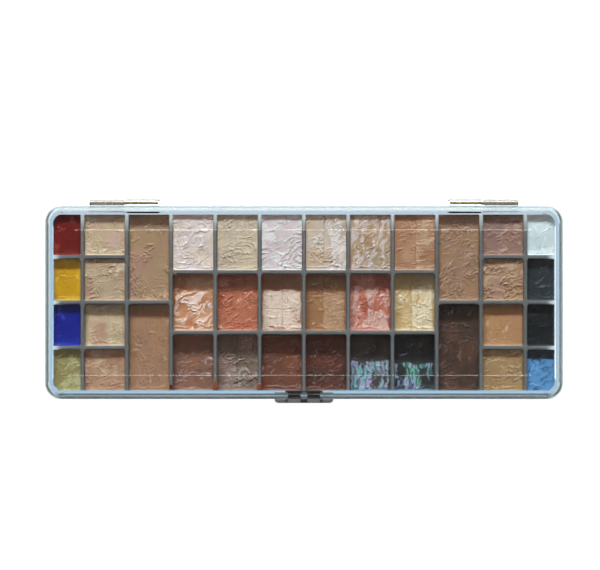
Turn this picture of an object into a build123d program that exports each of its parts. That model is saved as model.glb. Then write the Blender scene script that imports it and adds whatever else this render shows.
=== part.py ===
from build123d import *
import os

# A clear moulded palette box for artists' cream colours: a one-piece tray with 38 wells, a hinged
# lid, two brass hinge pins, a snap latch and the paint that fills the wells. Millimetres.
# +X runs along the length, +Y points at the hinges, +Z is up, and the origin is the middle of the
# underside.

# tray
box_length = 210.0
box_width = 78.2
corner_radius = 6.5
rim_height = 10.5
wall = 3.0
floor_thickness = 1.6
foot_round = 1.0
field_corner_radius = 4.6

# wells: twelve columns of two, three or four wells
column_pitch = 18.0
divider_thickness = 1.6
divider_top = 10.3
well_corner_radius = 0.7
paint_side_gap = 0.05

# locating lip that stands up inside the lid
lip_inset = 2.35
lip_height = 0.8
lip_round = 0.25

# lid
parting_gap = 0.05
skirt = 2.2
lid_top = 13.6
lid_plate = 1.3
lid_round = 1.0
panel_inset_ends = 10.3
panel_inset_sides = 9.6
panel_corner_radius = 3.3
panel_rise = 0.5
panel_chamfer = 0.4

# hinges: each has an outer knuckle on the tray and an inner knuckle on the lid
hinge_inner_end = 58.4
knuckle_length = 14.2
knuckle_gap = 0.3
knuckle_radius = 1.6
knuckle_clearance = 0.15
knuckle_round = 0.5
hinge_offset = 1.3
web_depth = 0.5
pin_radius = 0.6
pin_groove = 0.07
pin_ring_pitch = 2.2
press_interference = 0.02
running_clearance = 0.05
bore_end_wall = 0.8

# latch: two fingers on the plate turn in sockets at the lid's front edge
latch_width = 23.8
latch_front = 40.95
latch_face = 40.75
latch_bottom = 4.8
latch_relief_top = 9.0
latch_corner_radius = 1.7
latch_axis_inset = 0.17
latch_axis_height = 12.3
finger_radius = 0.72
window_inner = 1.2
window_outer = 6.7
window_depth = 2.04
finger_gap = 0.2
trunnion_radius = 0.45
trunnion_length = 0.9
catch_proud = 0.4
catch_half_width = 6.0

# paint: the wells of each column from the hinge side to the front, with how far each surface
# lies below the tops of the dividers
paints = {
    "a": [("brick_red", 1.3), ("golden_yellow", 2.6), ("royal_blue", 2.2), ("olive", 2.2)],
    "b": [("pale_beige", 1.5), ("rose_beige", 1.2), ("sand", 2.8), ("warm_beige", 2.2)],
    "c": [("tan", 2.2), ("caramel", 3.2)],
    "d": [("shell_pink", 0.8), ("peach", 4.0), ("chestnut", 4.8)],
    "e": [("ivory", 0.9), ("terracotta", 4.2), ("taupe", 5.0)],
    "f": [("porcelain", 0.8), ("cream", 4.2), ("russet", 5.0)],
    "g": [("oatmeal", 0.9), ("apricot_tan", 4.2), ("cocoa", 5.2)],
    "h": [("mauve_beige", 0.8), ("coral_pink", 4.2), ("charcoal", 5.6)],
    "i": [("honey", 0.9), ("pale_yellow", 4.0), ("pearl_black", 5.8)],
    "j": [("fawn", 2.0), ("espresso", 4.0)],
    "k": [("mauve_brown", 1.6), ("amber_beige", 1.4), ("ochre_tan", 2.8), ("light_ochre", 2.0)],
    "l": [("white", 1.2), ("dark_grey", 2.4), ("black", 2.4), ("sky_blue", 2.4)],
}

rear_face = box_width / 2
front_face = -box_width / 2
field_length = box_length - 2 * wall
field_width = box_width - 2 * wall
hinge_y = rear_face + hinge_offset
hinge_z = rim_height
hinge_middle = hinge_inner_end + knuckle_length + knuckle_gap / 2
outer_knuckle = (hinge_middle + knuckle_gap / 2, hinge_middle + knuckle_gap / 2 + knuckle_length)
inner_knuckle = (hinge_inner_end, hinge_inner_end + knuckle_length)
latch_axis_y = front_face + latch_axis_inset
lid_bottom = rim_height + parting_gap


def rounded_block(length, width, radius, bottom, top):
    """Upright block with rounded corners, centred on the Z axis."""
    return Pos(0, 0, bottom) * extrude(RectangleRounded(length, width, radius), top - bottom)


def block(x_span, y_span, z_span):
    """Plain block between three pairs of limits."""
    spans = (x_span, y_span, z_span)
    middle = [(low + high) / 2 for low, high in spans]
    return Pos(*middle) * Box(*[high - low for low, high in spans])


def rod(x_span, y, z, radius):
    """Round rod along X."""
    low, high = x_span
    return Pos((low + high) / 2, y, z) * Rot(0, 90, 0) * Cylinder(radius, high - low)


def along_x(outline, half_length):
    """Prism along X, both ways from the middle, from (y, z) points."""
    face = make_face(Polyline(*outline, close=True))
    return extrude(Plane.YZ * face, half_length, both=True)


def well_limits(column, row):
    """Limits of one well: columns count from the left, rows from the hinge side."""
    letters = list(paints)
    columns = len(letters)
    rows = len(paints[letters[column]])
    half_divider = divider_thickness / 2
    left = (column - columns / 2) * column_pitch + half_divider
    right = (column + 1 - columns / 2) * column_pitch - half_divider
    left = max(left, -field_length / 2)
    right = min(right, field_length / 2)
    row_pitch = (field_width + divider_thickness) / rows
    rear = field_width / 2 - row * row_pitch
    return (left, right), (rear - row_pitch + divider_thickness, rear)


def well_prism(column, row, gap, bottom, top):
    """Filled shape of one well; the corner wells follow the round corner of the tray."""
    (left, right), (front, rear) = well_limits(column, row)
    corner = well_corner_radius - gap
    outline = RectangleRounded(right - left - 2 * gap, rear - front - 2 * gap, corner)
    prism = Pos((left + right) / 2, (front + rear) / 2, bottom) * extrude(outline, top - bottom)
    shrink = 2 * gap
    radius = field_corner_radius - gap
    return prism & rounded_block(field_length - shrink, field_width - shrink, radius, bottom, top)


def knuckle(x_span, web_side):
    """Hinge knuckle with a web to the box: web_side is -1 for the tray and 1 for the lid."""
    low, high = x_span
    barrel = rod(x_span, hinge_y, hinge_z, knuckle_radius)
    barrel = fillet(barrel.edges().filter_by(GeomType.CIRCLE), knuckle_round)
    web_start = 0 if web_side < 0 else 2 * parting_gap
    heights = sorted((hinge_z + web_side * web_start, hinge_z + web_side * knuckle_radius))
    web_span = (low + knuckle_round, high - knuckle_round)
    return barrel + block(web_span, (rear_face - web_depth, hinge_y), heights)


def both_sides(x_span):
    """The same stretch of the hinge line on the right and on the left."""
    low, high = x_span
    return (low, high), (-high, -low)


def knuckle_room(x_span):
    """Space that the other half's knuckle turns in."""
    span = (x_span[0] - knuckle_clearance, x_span[1] + knuckle_clearance)
    return rod(span, hinge_y, hinge_z, knuckle_radius + knuckle_clearance)


def base_tray():
    tray = rounded_block(box_length, box_width, corner_radius, 0, rim_height)
    tray = fillet(tray.edges().group_by(Axis.Z)[0], foot_round)
    lip = rounded_block(box_length - 2 * lip_inset, box_width - 2 * lip_inset,
                        corner_radius - lip_inset, divider_top, rim_height + lip_height)
    lip = fillet(lip.edges().group_by(Axis.Z)[-1], lip_round)
    tray = tray + lip
    tray = tray - rounded_block(field_length, field_width, field_corner_radius,
                                divider_top, rim_height + 2 * lip_height)
    for column, name in enumerate(paints):
        for row in range(len(paints[name])):
            tray = tray - well_prism(column, row, 0, floor_thickness, rim_height)
    for span in both_sides(inner_knuckle):
        tray = tray - knuckle_room(span)
    for span in both_sides(outer_knuckle):
        tray = tray + knuckle(span, -1)
    for span in both_sides((outer_knuckle[0] - 1, outer_knuckle[1] + 1)):
        tray = tray - rod(span, hinge_y, hinge_z, pin_radius - press_interference)
    root = front_face + 0.1
    tip = front_face - catch_proud
    catch = along_x([(root, 8.0), (tip, 7.6), (tip, 7.3), (root, 7.0)], catch_half_width)
    return tray + catch


def lid():
    cover = rounded_block(box_length, box_width, corner_radius, lid_bottom, lid_top)
    cover = fillet(cover.edges().group_by(Axis.Z)[-1], lid_round)
    panel = rounded_block(box_length - 2 * panel_inset_ends, box_width - 2 * panel_inset_sides,
                          panel_corner_radius, lid_top - lid_plate / 2, lid_top + panel_rise)
    cover = cover + chamfer(panel.edges().group_by(Axis.Z)[-1], panel_chamfer)
    cover = cover - rounded_block(box_length - 2 * skirt, box_width - 2 * skirt,
                                  corner_radius - skirt, rim_height - 1, lid_top - lid_plate)
    for span in both_sides(outer_knuckle):
        cover = cover - knuckle_room(span)
    for span in both_sides(inner_knuckle):
        cover = cover + knuckle(span, 1)
    for span in both_sides((inner_knuckle[0] + bore_end_wall, inner_knuckle[1] + 1)):
        cover = cover - rod(span, hinge_y, hinge_z, pin_radius + running_clearance)
    window_back = front_face + window_depth
    for span in both_sides((window_inner, window_outer)):
        cover = cover - block(span, (front_face - 1, window_back), (lid_bottom - 1, lid_top + 1))
    socket = window_outer + trunnion_length
    return cover - rod((-socket, socket), latch_axis_y, latch_axis_height,
                       trunnion_radius + running_clearance)


def hinge_pin(side):
    """Brass pin: smooth in the lid's knuckle, with grip rings where the tray's knuckle holds it."""
    inner_end = inner_knuckle[0] + bore_end_wall + running_clearance
    outer_end = outer_knuckle[1]
    pin = rod((inner_end, outer_end), hinge_y, hinge_z, pin_radius)
    pin = chamfer(pin.edges().filter_by(GeomType.CIRCLE), pin_groove)
    rings = int(knuckle_length // pin_ring_pitch)
    for ring in range(rings):
        start = outer_knuckle[0] + pin_ring_pitch * (ring + 0.5)
        groove = (start, start + pin_ring_pitch / 3)
        collar = rod(groove, hinge_y, hinge_z, 2 * pin_radius)
        pin = pin - (collar - rod(groove, hinge_y, hinge_z, pin_radius - pin_groove))
    return pin if side > 0 else mirror(pin, Plane.YZ)


def front_latch():
    plate_top = latch_axis_height - 0.4
    upper_back = front_face - 0.15
    lower_back = front_face - 0.6
    hook = lower_back + 0.14
    plate = along_x([(upper_back, plate_top), (upper_back, latch_relief_top),
                     (lower_back, latch_relief_top - 0.4), (lower_back, 6.9), (hook, 6.6),
                     (hook, 6.2), (lower_back, 5.7), (lower_back, latch_bottom),
                     (-latch_front, latch_bottom), (-latch_front, latch_bottom + 1.2),
                     (-latch_face, latch_bottom + 1.6), (-latch_face, plate_top)], latch_width / 2)
    depth = 4 * latch_corner_radius
    mould = RectangleRounded(latch_width, depth, latch_corner_radius)
    plate = plate & (Pos(0, depth / 2 - latch_front, 0) * extrude(mould, lid_top))
    top = latch_axis_height + finger_radius
    arm_heights = (latch_axis_height - finger_radius, top)
    for span in both_sides((window_inner + finger_gap, window_outer - finger_gap)):
        arm = block(span, (-latch_face, latch_axis_y), arm_heights)
        front_top_edge = arm.edges().filter_by(Axis.X).group_by(Axis.Z)[-1].sort_by(Axis.Y)[0]
        plate = plate + fillet(front_top_edge, finger_radius)
        plate = plate + rod(span, latch_axis_y, latch_axis_height, finger_radius)
    for span in both_sides((running_clearance, window_outer + trunnion_length)):
        plate = plate + rod(span, latch_axis_y, latch_axis_height, trunnion_radius)
    return plate


def paint_fill(column, row, depth):
    return well_prism(column, row, paint_side_gap, floor_thickness, divider_top - depth)


os.makedirs("parts", exist_ok=True)
export_step(base_tray(), "parts/base_tray.step")
export_step(lid(), "parts/lid.step")
export_step(hinge_pin(-1), "parts/hinge_pin_left.step")
export_step(hinge_pin(1), "parts/hinge_pin_right.step")
export_step(front_latch(), "parts/front_latch.step")
for column, (letter, wells) in enumerate(paints.items()):
    for row, (colour, depth) in enumerate(wells):
        node = f"paint_{letter}{row + 1}_{colour}"
        export_step(paint_fill(column, row, depth), f"parts/{node}.step")
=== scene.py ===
import math
import bpy
import numpy as np
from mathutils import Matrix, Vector


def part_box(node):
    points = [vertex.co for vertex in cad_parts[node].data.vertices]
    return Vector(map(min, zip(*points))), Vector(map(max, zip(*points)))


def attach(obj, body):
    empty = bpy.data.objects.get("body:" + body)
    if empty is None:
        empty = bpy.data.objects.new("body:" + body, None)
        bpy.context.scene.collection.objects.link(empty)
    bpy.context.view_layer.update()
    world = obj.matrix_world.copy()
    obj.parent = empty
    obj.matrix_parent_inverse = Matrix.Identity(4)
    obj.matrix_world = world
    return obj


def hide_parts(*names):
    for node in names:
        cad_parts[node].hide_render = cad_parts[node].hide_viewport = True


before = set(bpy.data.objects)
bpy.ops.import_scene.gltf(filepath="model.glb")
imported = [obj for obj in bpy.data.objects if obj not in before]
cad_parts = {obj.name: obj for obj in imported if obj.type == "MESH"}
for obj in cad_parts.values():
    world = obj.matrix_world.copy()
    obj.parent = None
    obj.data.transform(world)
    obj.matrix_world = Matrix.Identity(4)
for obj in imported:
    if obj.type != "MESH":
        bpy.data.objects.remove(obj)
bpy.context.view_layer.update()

mm = 0.001
paintNodes = sorted(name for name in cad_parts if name.startswith("paint_"))


# selecting and shaping, used by every piece

def deselectAll():
    if bpy.context.object and bpy.context.object.mode != "OBJECT":
        bpy.ops.object.mode_set(mode="OBJECT")
    bpy.ops.object.select_all(action="DESELECT")


def activate(piece):
    deselectAll()
    piece.select_set(True)
    bpy.context.view_layer.objects.active = piece


# selects what passes test and goes into edit mode; test gets the middle in mm,
# for an edge also its direction and the angle over it, for a face its normal and area
def pick(piece, kind, test):
    activate(piece)
    mesh = piece.data
    for group in (mesh.vertices, mesh.edges, mesh.polygons):
        group.foreach_set("select", [False] * len(group))
    bpy.context.tool_settings.mesh_select_mode = (kind == "VERT", kind == "EDGE", kind == "FACE")
    if kind == "VERT":
        for vertex in mesh.vertices:
            vertex.select = bool(test(vertex.co / mm))
    if kind == "FACE":
        for face in mesh.polygons:
            face.select = bool(test(face.center / mm, face.normal, face.area / mm / mm))
    if kind == "EDGE":
        beside = {}
        for face in mesh.polygons:
            for key in face.edge_keys:
                beside.setdefault(key, []).append(face.normal)
        for edge in mesh.edges:
            a, b = (mesh.vertices[i].co / mm for i in edge.vertices)
            normals = beside.get(tuple(sorted(edge.vertices)), [])
            bend = normals[0].angle(normals[1], 0) if len(normals) == 2 else math.pi
            edge.select = bool(test((a + b) / 2, (b - a).normalized(), math.degrees(bend)))
    bpy.ops.object.mode_set(mode="EDIT")


def done():
    bpy.ops.object.mode_set(mode="OBJECT")


def pushUp(height):
    bpy.ops.mesh.extrude_region_move(TRANSFORM_OT_translate={"value": (0, 0, height * mm)})


def roundEdges(piece, test, width, segments, profile=0.5):
    pick(piece, "EDGE", test)
    bpy.ops.mesh.bevel(offset=width * mm, segments=segments, profile=profile, affect="EDGES",
                       clamp_overlap=False)
    done()


def addBlock(name, x, y, z):
    deselectAll()
    middle = [(low + high) / 2 * mm for low, high in (x, y, z)]
    bpy.ops.mesh.primitive_cube_add(size=1, location=middle)
    piece = bpy.context.object
    piece.name = name
    piece.scale = [(high - low) * mm for low, high in (x, y, z)]
    bpy.ops.object.transform_apply(location=True, rotation=True, scale=True)
    return piece


def addRod(name, x, y, z, radius, sides=40):
    deselectAll()
    bpy.ops.mesh.primitive_cylinder_add(vertices=sides, radius=radius * mm, depth=(x[1] - x[0]) * mm,
                                        location=(sum(x) / 2 * mm, y * mm, z * mm),
                                        rotation=(0, math.pi / 2, 0))
    piece = bpy.context.object
    piece.name = name
    bpy.ops.object.transform_apply(location=True, rotation=True, scale=True)
    return piece


def combine(piece, tool, operation):
    activate(piece)
    modifier = piece.modifiers.new("cut", "BOOLEAN")
    modifier.operation = operation
    modifier.solver = "EXACT"
    modifier.object = tool
    bpy.ops.object.modifier_apply(modifier=modifier.name)
    bpy.data.objects.remove(tool)


def isUpright(direction):
    return abs(direction.z) > 0.99


def smooth(piece, angle):
    activate(piece)
    bpy.ops.object.shade_smooth_by_angle(angle=math.radians(angle))


def selectOpenEdges(piece):
    pick(piece, "EDGE", lambda m, d, bend: False)
    bpy.ops.mesh.select_non_manifold(extend=False, use_wire=True, use_boundary=True,
                                     use_multi_face=False, use_non_contiguous=False, use_verts=False)


def closeHoles(piece):
    selectOpenEdges(piece)
    bpy.ops.mesh.edge_face_add()
    bpy.ops.mesh.select_all(action="SELECT")
    bpy.ops.mesh.normals_make_consistent(inside=False)
    done()


# selects the large flat face that looks up at height
def pickTop(piece, height):
    pick(piece, "FACE", lambda m, n, area: abs(m.z - height) < 0.001 and n.z > 0.99 and area > 5000
         and abs(m.x) < 1)


# swaps the large flat face at height for a ledge down or across to a rounded rectangle at z
def replaceTop(piece, height, halfX, halfY, radius, z):
    pickTop(piece, height)
    bpy.ops.mesh.delete(type="FACE")
    done()
    pick(piece, "VERT", lambda m: False)
    bpy.ops.mesh.primitive_plane_add(size=2 * mm, location=(0, 0, z * mm))
    bpy.ops.transform.resize(value=(halfX, halfY, 1), center_override=(0, 0, z * mm))
    bpy.ops.mesh.bevel(offset=radius * mm, segments=10, affect="VERTICES", clamp_overlap=False)
    done()
    pickTop(piece, z)
    bpy.ops.mesh.delete(type="ONLY_FACE")
    done()
    selectOpenEdges(piece)
    bpy.ops.mesh.bridge_edge_loops()
    done()
    closeHoles(piece)


# rounded edges shade smooth, and what passes isFlat stays flat
def smoothRounds(piece, isFlat):
    smooth(piece, 40)
    for face in piece.data.polygons:
        if isFlat(face.center / mm, face.normal, face.area / mm / mm):
            face.use_smooth = False


def finishPiece(piece, material, body, node):
    piece.data.materials.clear()
    piece.data.materials.append(material)
    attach(piece, body)
    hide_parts(node)


# shader helpers

def newMaterial(name):
    material = bpy.data.materials.new(name)
    material.use_nodes = True
    tree = material.node_tree
    return material, tree, tree.nodes["Principled BSDF"]


def addNode(tree, kind, **settings):
    node = tree.nodes.new(kind)
    for key, value in settings.items():
        setattr(node, key, value)
    return node


def blendColours(tree, factor, first, second):
    node = addNode(tree, "ShaderNodeMix", data_type="RGBA")
    if isinstance(factor, float):
        node.inputs["Factor"].default_value = factor
    else:
        tree.links.new(factor, node.inputs["Factor"])
    for name, value in (("A", first), ("B", second)):
        sockets = [s for s in node.inputs if s.name == name and s.type == "RGBA"]
        if isinstance(value, tuple):
            sockets[0].default_value = (*value, 1.0)
        else:
            tree.links.new(value, sockets[0])
    return [s for s in node.outputs if s.type == "RGBA"][0]


def noiseField(tree, scale, detail, roughness=0.5, stretch=(1, 1, 1), turn=0.0):
    coords = addNode(tree, "ShaderNodeTexCoord")
    mapping = addNode(tree, "ShaderNodeMapping")
    mapping.inputs["Rotation"].default_value = (0, 0, math.radians(turn))
    mapping.inputs["Scale"].default_value = stretch
    tree.links.new(coords.outputs["Object"], mapping.inputs["Vector"])
    field = addNode(tree, "ShaderNodeTexNoise")
    field.inputs["Scale"].default_value = scale
    field.inputs["Detail"].default_value = detail
    field.inputs["Roughness"].default_value = roughness
    tree.links.new(mapping.outputs["Vector"], field.inputs["Vector"])
    return field.outputs["Fac"]


def remap(tree, value, low, high, toLow, toHigh):
    node = addNode(tree, "ShaderNodeMapRange")
    node.inputs["From Min"].default_value = low
    node.inputs["From Max"].default_value = high
    node.inputs["To Min"].default_value = toLow
    node.inputs["To Max"].default_value = toHigh
    tree.links.new(value, node.inputs["Value"])
    return node.outputs["Result"]


def calculate(tree, operation, first, second):
    node = addNode(tree, "ShaderNodeMath", operation=operation)
    for socket, value in zip(node.inputs, (first, second)):
        if isinstance(value, float):
            socket.default_value = value
        else:
            tree.links.new(value, socket)
    return node.outputs["Value"]


def addBump(tree, shader, height, strength, distance):
    bump = addNode(tree, "ShaderNodeBump")
    bump.inputs["Strength"].default_value = strength
    bump.inputs["Distance"].default_value = distance
    tree.links.new(height, bump.inputs["Height"])
    tree.links.new(bump.outputs["Normal"], shader.inputs["Normal"])


# a colour as it looks on a screen, 0 to 255, turned into the shader's own scale
def seen(red, green, blue):
    return tuple((part / 255 / 12.92) if part < 10 else ((part / 255 + 0.055) / 1.055) ** 2.4
                 for part in (red, green, blue))


# clear plastic: clarity is how much goes through, haze the milky part, edge the tint that it takes where
# it is seen edge on, shade what a lamp's light keeps at each skin, tint and density what the thickness
# takes away, gloss and scuffed the roughness from its cleanest to its worst, ripple the moulding's waves
trayPlasticLook = dict(haze=(0.90, 0.85, 0.80), edge=(0.42, 0.60, 0.70), clarity=0.83,
                       gloss=0.05, scuffed=0.16, ripple=0.08,
                       shade=(0.30, 0.18, 0.08), tint=(0.50, 0.78, 0.92), density=75)
lidPlasticLook = dict(haze=(0.98, 0.99, 1.0), edge=(0.40, 0.57, 0.66), clarity=1.0,
                      gloss=0.01, scuffed=0.04, ripple=0.03,
                      shade=(0.95, 0.965, 0.975), tint=(0.60, 0.82, 0.92), density=30)
latchPlasticLook = dict(haze=(0.22, 0.226, 0.235), edge=(0.17, 0.18, 0.20), clarity=0.25,
                        gloss=0.16, scuffed=0.30, ripple=0.08,
                        shade=(0.3, 0.3, 0.3), tint=(0.45, 0.48, 0.52), density=300)
plasticIndex = 1.49
rippleDepth = 0.00004
# painted shade: behind this place in mm the fingers are darkened, where they turn in the lid's windows, for
# the shadowed slots there
paintedSlotShade = dict(behind=-39.0, fade=0.15, colour=(0.035, 0.028, 0.026))


def makeClearPlastic(name, look, dark=None):
    material, tree, shader = newMaterial(name)
    edgeOn = addNode(tree, "ShaderNodeLayerWeight")
    edgeOn.inputs["Blend"].default_value = 0.5
    colour = blendColours(tree, edgeOn.outputs["Facing"], look["haze"], look["edge"])
    # painted shade: the latch is darker behind the given depth, in the lid's two windows
    if dark:
        coords = addNode(tree, "ShaderNodeTexCoord")
        axes = addNode(tree, "ShaderNodeSeparateXYZ")
        tree.links.new(coords.outputs["Object"], axes.inputs["Vector"])
        start = dark["behind"] * mm
        inside = remap(tree, axes.outputs["Y"], start, start + dark["fade"] * mm, 0.0, 1.0)
        colour = blendColours(tree, inside, colour, dark["colour"])
    tree.links.new(colour, shader.inputs["Base Color"])
    shader.inputs["Transmission Weight"].default_value = look["clarity"]
    shader.inputs["IOR"].default_value = plasticIndex
    wear = noiseField(tree, 900, detail=4, stretch=(1, 0.25, 1))
    tree.links.new(remap(tree, wear, 0.45, 0.75, look["gloss"], look["scuffed"]), shader.inputs["Roughness"])
    addBump(tree, shader, noiseField(tree, 150, detail=2), look["ripple"], rippleDepth)
    path = addNode(tree, "ShaderNodeLightPath")
    through = addNode(tree, "ShaderNodeBsdfTransparent")
    through.inputs["Color"].default_value = (*look["shade"], 1)
    lampsPass = addNode(tree, "ShaderNodeMixShader")
    tree.links.new(path.outputs["Is Shadow Ray"], lampsPass.inputs["Fac"])
    tree.links.new(shader.outputs["BSDF"], lampsPass.inputs[1])
    tree.links.new(through.outputs["BSDF"], lampsPass.inputs[2])
    output = tree.nodes["Material Output"]
    tree.links.new(lampsPass.outputs["Shader"], output.inputs["Surface"])
    absorb = addNode(tree, "ShaderNodeVolumeAbsorption")
    absorb.inputs["Color"].default_value = (*look["tint"], 1)
    absorb.inputs["Density"].default_value = look["density"]
    tree.links.new(absorb.outputs["Volume"], output.inputs["Volume"])
    return material


trayPlastic = makeClearPlastic("clear tray plastic", trayPlasticLook)
lidPlastic = makeClearPlastic("clear lid plastic", lidPlasticLook)
latchPlastic = makeClearPlastic("smoky latch plastic", latchPlasticLook, paintedSlotShade)


brassLook = dict(bright=(0.86, 0.62, 0.20), tarnished=(0.40, 0.26, 0.07), polish=0.18, dull=0.42)


def makeBrass():
    material, tree, shader = newMaterial("brass")
    shader.inputs["Metallic"].default_value = 1
    stain = noiseField(tree, 800, detail=4)
    tree.links.new(blendColours(tree, remap(tree, stain, 0.45, 0.7, 0.0, 0.8), brassLook["bright"],
                                brassLook["tarnished"]), shader.inputs["Base Color"])
    tree.links.new(remap(tree, stain, 0.4, 0.7, brassLook["polish"], brassLook["dull"]),
                   shader.inputs["Roughness"])
    addBump(tree, shader, noiseField(tree, 3000, detail=2, stretch=(4, 1, 1)), 0.2, 0.00002)
    return material


brass = makeBrass()
print("plastics and brass mixed")


# the box: both halves share its outline and its hinges

boxForm = dict(corner=6.5, rim=10.5, lidBottom=10.55, footRound=1.0)
hingeForm = dict(outer=(72.9, 87.1), inner=(58.4, 72.6), offset=1.3, radius=1.6, room=0.15, endRound=0.5,
                 web=0.5, lidWebGap=0.1, pin=0.61, bore=0.65, boreWall=0.8)
cutPast = 1  # how far a cutting tool reaches past what it cuts
lidLow, lidHigh = (np.array(corner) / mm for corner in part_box("lid"))
halfLength = lidHigh[0]
halfWidth = -lidLow[1]
hingeY = halfWidth + hingeForm["offset"]


def bothSides(span):
    return span, (-span[1], -span[0])


# side is -1 for a knuckle with its web below the joint line, on the tray, and 1 on the lid
def addKnuckle(piece, span, side):
    barrel = addRod("barrel", span, hingeY, boxForm["rim"], hingeForm["radius"])
    roundEdges(barrel, lambda m, d, bend: 80 < bend < 100, hingeForm["endRound"], 3)
    start = 0 if side < 0 else hingeForm["lidWebGap"]
    heights = sorted((boxForm["rim"] + side * start, boxForm["rim"] + side * hingeForm["radius"]))
    inner = (span[0] + hingeForm["endRound"], span[1] - hingeForm["endRound"])
    combine(barrel, addBlock("web", inner, (halfWidth - hingeForm["web"], hingeY), heights), "UNION")
    combine(piece, barrel, "UNION")


def clearKnuckle(piece, span):
    room = hingeForm["room"]
    combine(piece, addRod("room", (span[0] - room, span[1] + room), hingeY, boxForm["rim"],
                          hingeForm["radius"] + room), "DIFFERENCE")


trayForm = dict(wall=3.0, floor=1.6, lipInset=2.35, lipTop=11.3, lipFlat=0.1, facetDrop=0.31,
                fieldCorner=4.6, dividerTop=10.3, wellRound=0.7, mouthRound=0.45, mouthProfile=0.42,
                catchProud=0.4, catchHalf=6.0, catchHeights=(7.0, 8.0), catchRoot=0.5, catchRound=0.3)
paintForm = dict(step=0.2, sideGap=0.05, wellRound=0.65, fieldRound=4.55, roof=12.0)  # roof is under the lid


def makeTray():
    form = trayForm
    tray = addBlock("tray_moulding", (-halfLength, halfLength), (-halfWidth, halfWidth), (0, boxForm["rim"]))
    roundEdges(tray, lambda m, d, bend: isUpright(d), boxForm["corner"], 10)
    roundEdges(tray, lambda m, d, bend: m.z < 0.01, boxForm["footRound"], 3)
    pick(tray, "FACE", lambda m, n, area: n.z > 0.99)  # the locating lip stands on the rim
    bpy.ops.mesh.inset(thickness=form["lipInset"] * mm)
    pushUp(form["lipTop"] - boxForm["rim"])
    bpy.ops.mesh.inset(thickness=form["lipFlat"] * mm)
    done()
    fieldX, fieldY = halfLength - form["wall"], halfWidth - form["wall"]
    facetFoot = form["lipTop"] - form["facetDrop"]
    replaceTop(tray, form["lipTop"], fieldX, fieldY, form["fieldCorner"], facetFoot)
    pickTop(tray, facetFoot)
    pushUp(form["dividerTop"] - facetFoot)
    done()
    wells = []
    for node in paintNodes:
        low, high = (np.array(corner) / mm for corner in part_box(node))
        wells.append((low - paintForm["sideGap"], high + paintForm["sideGap"]))

    def isField(m, n):
        return abs(m.z - form["dividerTop"]) < 0.001 and n.z > 0.99

    def score(x, y, test):
        pick(tray, "FACE", lambda m, n, area: isField(m, n) and test(m))
        bpy.ops.mesh.bisect(plane_co=(x * mm, y * mm, 0), plane_no=(float(x != 0), float(y != 0), 0),
                            threshold=1e-6)
        done()

    edges = {round(float(x), 3) for low, high in wells for x in (low[0], high[0]) if abs(x) < fieldX - 1}
    for x in sorted(edges):
        score(x, 0, lambda m: True)
    for low, high in wells:
        for y in (low[1], high[1]):
            if abs(y) < fieldY - 1:
                score(0, y, lambda m: low[0] < m.x < high[0])
    pick(tray, "FACE", lambda m, n, area: isField(m, n) and any(
        low[0] < m.x < high[0] and low[1] < m.y < high[1] for low, high in wells))
    pushUp(form["floor"] - form["dividerTop"])
    done()
    roundEdges(tray, lambda m, d, bend: isUpright(d) and 80 < bend < 100 and abs(m.x) < fieldX + 0.01
               and abs(m.y) < fieldY + 0.01, form["wellRound"], 3)
    roundEdges(tray, lambda m, d, bend: abs(m.z - form["dividerTop"]) < 0.001 and 60 < bend < 120
               and abs(m.x) < fieldX - 0.01 and abs(m.y) < fieldY - 0.01,
               form["mouthRound"], 2, form["mouthProfile"])
    for span in bothSides(hingeForm["inner"]):
        clearKnuckle(tray, span)
    for span in bothSides(hingeForm["outer"]):
        addKnuckle(tray, span, -1)
        through = (span[0] - cutPast, span[1] + cutPast)
        combine(tray, addRod("bore", through, hingeY, boxForm["rim"], hingeForm["pin"]), "DIFFERENCE")
    catch = addBlock("catch", (-form["catchHalf"], form["catchHalf"]),
                     (-halfWidth - form["catchProud"], -halfWidth + form["catchRoot"]), form["catchHeights"])
    roundEdges(catch, lambda m, d, bend: abs(d.x) > 0.99 and m.y < -halfWidth, form["catchRound"], 2)
    combine(tray, catch, "UNION")
    mouth = form["dividerTop"] - form["mouthRound"]
    smoothRounds(tray, lambda m, n, area: area > (8 if m.z < form["dividerTop"] else 300)
                 or mouth < m.z < form["dividerTop"] and 0.4 < n.z < 0.97)
    finishPiece(tray, trayPlastic, "tray", "base_tray")


makeTray()
print("tray moulded")


# window is the span of each of the lid's two windows; the back ends in a hook below the catch
latchForm = dict(width=23.8, front=40.95, face=40.75, lipTop=6.5, top=11.9, bottom=4.8, cornerRound=1.6,
                 softEdge=0.12, upperBack=39.25, lowerBack=39.7, backSlope=(9.0, 8.6), hook=0.14,
                 hookSlope=(6.9, 6.6), hookFoot=(6.2, 5.7), axisY=-38.93, axisZ=12.3, finger=0.72,
                 fingerGap=0.2, armInset=0.16, heelReach=1.62, heelLow=0.58, heelHigh=0.2, heelRound=0.12,
                 trunnion=0.45, trunnionPlay=0.05, reach=0.9, window=(1.2, 6.7), windowDepth=2.04,
                 windowHeights=(9, 15))
lidForm = dict(top=13.6, skirt=2.2, underside=12.3, topRound=1.0, slantWidth=1.3, slantHeight=1.13,
               panelX=94.7, panelY=29.5, panelCorner=3.3, stepRise=0.34, stepWidth=0.26, stepHeight=0.052,
               shoulder=0.14, shoulderRise=0.1)


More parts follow.
